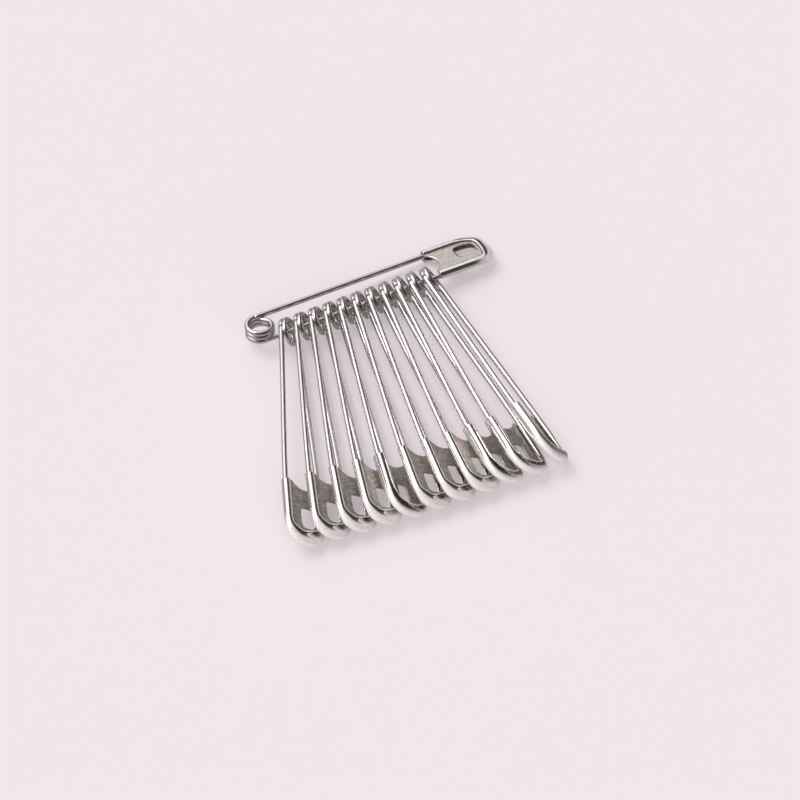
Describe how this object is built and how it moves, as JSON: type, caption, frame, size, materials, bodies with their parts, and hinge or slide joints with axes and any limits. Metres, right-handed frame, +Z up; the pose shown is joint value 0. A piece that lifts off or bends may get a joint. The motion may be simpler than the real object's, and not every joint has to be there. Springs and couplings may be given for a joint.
{
  "type": "safety pin bunch",
  "caption": "Bunch of plated steel safety pins, fanned out flat, threaded by their spring eyes on the needle of one closed carrier pin.",
  "frame": {"origin": "middle of the bunch's bounding box, at the height of the table it lies on", "axes": "+X along the carrier's needle towards its cap, +Y from the hanging caps towards the carrier, +Z up from the table"},
  "size_m": [0.0706, 0.0632, 0.0084],
  "materials": {
    "plated_wire": "bright nickel-plated steel wire",
    "plated_needle": "bright nickel-plated steel wire, ground to a point",
    "plated_sheet": "bright nickel-plated stamped steel sheet"
  },
  "bodies": {
    "carrier_frame": {"carrier_spine_wire": "plated_wire", "carrier_spring": "plated_wire", "carrier_cap": "plated_sheet"},
    "carrier_needle_arm": {"carrier_needle": "plated_needle"},
    "pin_01_frame": {"pin_01_spine_wire": "plated_wire", "pin_01_spring": "plated_wire", "pin_01_cap": "plated_sheet"},
    "pin_01_needle_arm": {"pin_01_needle": "plated_needle"},
    "pin_02_frame": {"pin_02_spine_wire": "plated_wire", "pin_02_spring": "plated_wire", "pin_02_cap": "plated_sheet"},
    "pin_02_needle_arm": {"pin_02_needle": "plated_needle"},
    "pin_03_frame": {"pin_03_spine_wire": "plated_wire", "pin_03_spring": "plated_wire", "pin_03_cap": "plated_sheet"},
    "pin_03_needle_arm": {"pin_03_needle": "plated_needle"},
    "pin_04_frame": {"pin_04_spine_wire": "plated_wire", "pin_04_spring": "plated_wire", "pin_04_cap": "plated_sheet"},
    "pin_04_needle_arm": {"pin_04_needle": "plated_needle"},
    "pin_05_frame": {"pin_05_spine_wire": "plated_wire", "pin_05_spring": "plated_wire", "pin_05_cap": "plated_sheet"},
    "pin_05_needle_arm": {"pin_05_needle": "plated_needle"},
    "pin_06_frame": {"pin_06_spine_wire": "plated_wire", "pin_06_spring": "plated_wire", "pin_06_cap": "plated_sheet"},
    "pin_06_needle_arm": {"pin_06_needle": "plated_needle"},
    "pin_07_frame": {"pin_07_spine_wire": "plated_wire", "pin_07_spring": "plated_wire", "pin_07_cap": "plated_sheet"},
    "pin_07_needle_arm": {"pin_07_needle": "plated_needle"},
    "pin_08_frame": {"pin_08_spine_wire": "plated_wire", "pin_08_spring": "plated_wire", "pin_08_cap": "plated_sheet"},
    "pin_08_needle_arm": {"pin_08_needle": "plated_needle"},
    "pin_09_frame": {"pin_09_spine_wire": "plated_wire", "pin_09_spring": "plated_wire", "pin_09_cap": "plated_sheet"},
    "pin_09_needle_arm": {"pin_09_needle": "plated_needle"},
    "pin_10_frame": {"pin_10_spine_wire": "plated_wire", "pin_10_spring": "plated_wire", "pin_10_cap": "plated_sheet"},
    "pin_10_needle_arm": {"pin_10_needle": "plated_needle"},
    "pin_11_frame": {"pin_11_spine_wire": "plated_wire", "pin_11_spring": "plated_wire", "pin_11_cap": "plated_sheet"},
    "pin_11_needle_arm": {"pin_11_needle": "plated_needle"}
  },
  "joints": [
    {"name": "carrier_needle_opening", "type": "hinge", "parent": "carrier_frame", "child": "carrier_needle_arm", "pos_m": [-0.01854, 0.02558, 0.00426], "axis": [-0.0468, 0.7429, -0.6677], "range_deg": [0, 30], "deforming": ["carrier_spring"]},
    {"name": "pin_01_swing", "type": "hinge", "parent": "carrier_needle_arm", "child": "pin_01_frame", "pos_m": [-0.01332, 0.02272, 0.00331], "axis": [-1, 0, 0], "range_deg": [-120, 30]},
    {"name": "pin_01_needle_opening", "type": "hinge", "parent": "pin_01_frame", "child": "pin_01_needle_arm", "pos_m": [-0.01332, 0.02227, 0.00376], "axis": [0.4267, -0.1552, -0.891], "range_deg": [0, 30], "deforming": ["pin_01_spring"]},
    {"name": "pin_02_swing", "type": "hinge", "parent": "carrier_needle_arm", "child": "pin_02_frame", "pos_m": [-0.0099, 0.02272, 0.00331], "axis": [-1, 0, 0], "range_deg": [-120, 30]},
    {"name": "pin_02_needle_opening", "type": "hinge", "parent": "pin_02_frame", "child": "pin_02_needle_arm", "pos_m": [-0.0099, 0.02227, 0.00376], "axis": [0.4328, -0.1373, -0.891], "range_deg": [0, 1.5], "deforming": ["pin_02_spring"]},
    {"name": "pin_03_swing", "type": "hinge", "parent": "carrier_needle_arm", "child": "pin_03_frame", "pos_m": [-0.00653, 0.02272, 0.00331], "axis": [-1, 0, 0], "range_deg": [-120, 30]},
    {"name": "pin_03_needle_opening", "type": "hinge", "parent": "pin_03_frame", "child": "pin_03_needle_arm", "pos_m": [-0.00653, 0.02227, 0.00376], "axis": [0.4382, -0.1191, -0.891], "range_deg": [0, 1.5], "deforming": ["pin_03_spring"]},
    {"name": "pin_04_swing", "type": "hinge", "parent": "carrier_needle_arm", "child": "pin_04_frame", "pos_m": [-0.00319, 0.02272, 0.00331], "axis": [-1, 0, 0], "range_deg": [-120, 30]},
    {"name": "pin_04_needle_opening", "type": "hinge", "parent": "pin_04_frame", "child": "pin_04_needle_arm", "pos_m": [-0.00319, 0.02227, 0.00376], "axis": [0.4427, -0.1007, -0.891], "range_deg": [0, 1.5], "deforming": ["pin_04_spring"]},
    {"name": "pin_05_swing", "type": "hinge", "parent": "carrier_needle_arm", "child": "pin_05_frame", "pos_m": [0.00011, 0.02272, 0.00331], "axis": [-1, 0, 0], "range_deg": [-120, 30]},
    {"name": "pin_05_needle_opening", "type": "hinge", "parent": "pin_05_frame", "child": "pin_05_needle_arm", "pos_m": [0.00011, 0.02227, 0.00376], "axis": [-0.4466, 0.0822, 0.891], "range_deg": [0, 2], "deforming": ["pin_05_spring"]},
    {"name": "pin_06_swing", "type": "hinge", "parent": "carrier_needle_arm", "child": "pin_06_frame", "pos_m": [0.00338, 0.02272, 0.00331], "axis": [-1, 0, 0], "range_deg": [-120, 30]},
    {"name": "pin_06_needle_opening", "type": "hinge", "parent": "pin_06_frame", "child": "pin_06_needle_arm", "pos_m": [0.00338, 0.02227, 0.00376], "axis": [0.4496, -0.0635, -0.891], "range_deg": [0, 2], "deforming": ["pin_06_spring"]},
    {"name": "pin_07_swing", "type": "hinge", "parent": "carrier_needle_arm", "child": "pin_07_frame", "pos_m": [0.00663, 0.02272, 0.00331], "axis": [-1, 0, 0], "range_deg": [-120, 30]},
    {"name": "pin_07_needle_opening", "type": "hinge", "parent": "pin_07_frame", "child": "pin_07_needle_arm", "pos_m": [0.00663, 0.02227, 0.00376], "axis": [0.4518, -0.0447, -0.891], "range_deg": [0, 1.5], "deforming": ["pin_07_spring"]},
    {"name": "pin_08_swing", "type": "hinge", "parent": "carrier_needle_arm", "child": "pin_08_frame", "pos_m": [0.00986, 0.02272, 0.00331], "axis": [-1, 0, 0], "range_deg": [-120, 30]},
    {"name": "pin_08_needle_opening", "type": "hinge", "parent": "pin_08_frame", "child": "pin_08_needle_arm", "pos_m": [0.00986, 0.02227, 0.00376], "axis": [0.4533, -0.0258, -0.891], "range_deg": [0, 1.5], "deforming": ["pin_08_spring"]},
    {"name": "pin_09_swing", "type": "hinge", "parent": "carrier_needle_arm", "child": "pin_09_frame", "pos_m": [0.01309, 0.02272, 0.00331], "axis": [-1, 0, 0], "range_deg": [-120, 30]},
    {"name": "pin_09_needle_opening", "type": "hinge", "parent": "pin_09_frame", "child": "pin_09_needle_arm", "pos_m": [0.01309, 0.02227, 0.00376], "axis": [-0.454, 0.0069, 0.891], "range_deg": [0, 1.5], "deforming": ["pin_09_spring"]},
    {"name": "pin_10_swing", "type": "hinge", "parent": "carrier_needle_arm", "child": "pin_10_frame", "pos_m": [0.01631, 0.02272, 0.00331], "axis": [-1, 0, 0], "range_deg": [-120, 30]},
    {"name": "pin_10_needle_opening", "type": "hinge", "parent": "pin_10_frame", "child": "pin_10_needle_arm", "pos_m": [0.01631, 0.02227, 0.00376], "axis": [-0.4539, -0.0121, 0.891], "range_deg": [0, 1.5], "deforming": ["pin_10_spring"]},
    {"name": "pin_11_swing", "type": "hinge", "parent": "carrier_needle_arm", "child": "pin_11_frame", "pos_m": [0.01953, 0.02272, 0.00331], "axis": [-1, 0, 0], "range_deg": [-120, 30]},
    {"name": "pin_11_needle_opening", "type": "hinge", "parent": "pin_11_frame", "child": "pin_11_needle_arm", "pos_m": [0.01953, 0.02227, 0.00376], "axis": [-0.1739, 0.0005, 0.9848], "range_deg": [0, 30], "deforming": ["pin_11_spring"]}
  ],
  "couplings": [
    {"joint": "pin_02_swing", "follows": "pin_01_swing", "ratio": 1},
    {"joint": "pin_03_swing", "follows": "pin_01_swing", "ratio": 1},
    {"joint": "pin_04_swing", "follows": "pin_01_swing", "ratio": 1},
    {"joint": "pin_05_swing", "follows": "pin_01_swing", "ratio": 1},
    {"joint": "pin_06_swing", "follows": "pin_01_swing", "ratio": 1},
    {"joint": "pin_07_swing", "follows": "pin_01_swing", "ratio": 1},
    {"joint": "pin_08_swing", "follows": "pin_01_swing", "ratio": 1},
    {"joint": "pin_09_swing", "follows": "pin_01_swing", "ratio": 1},
    {"joint": "pin_10_swing", "follows": "pin_01_swing", "ratio": 1},
    {"joint": "pin_11_swing", "follows": "pin_01_swing", "ratio": 1}
  ]
}
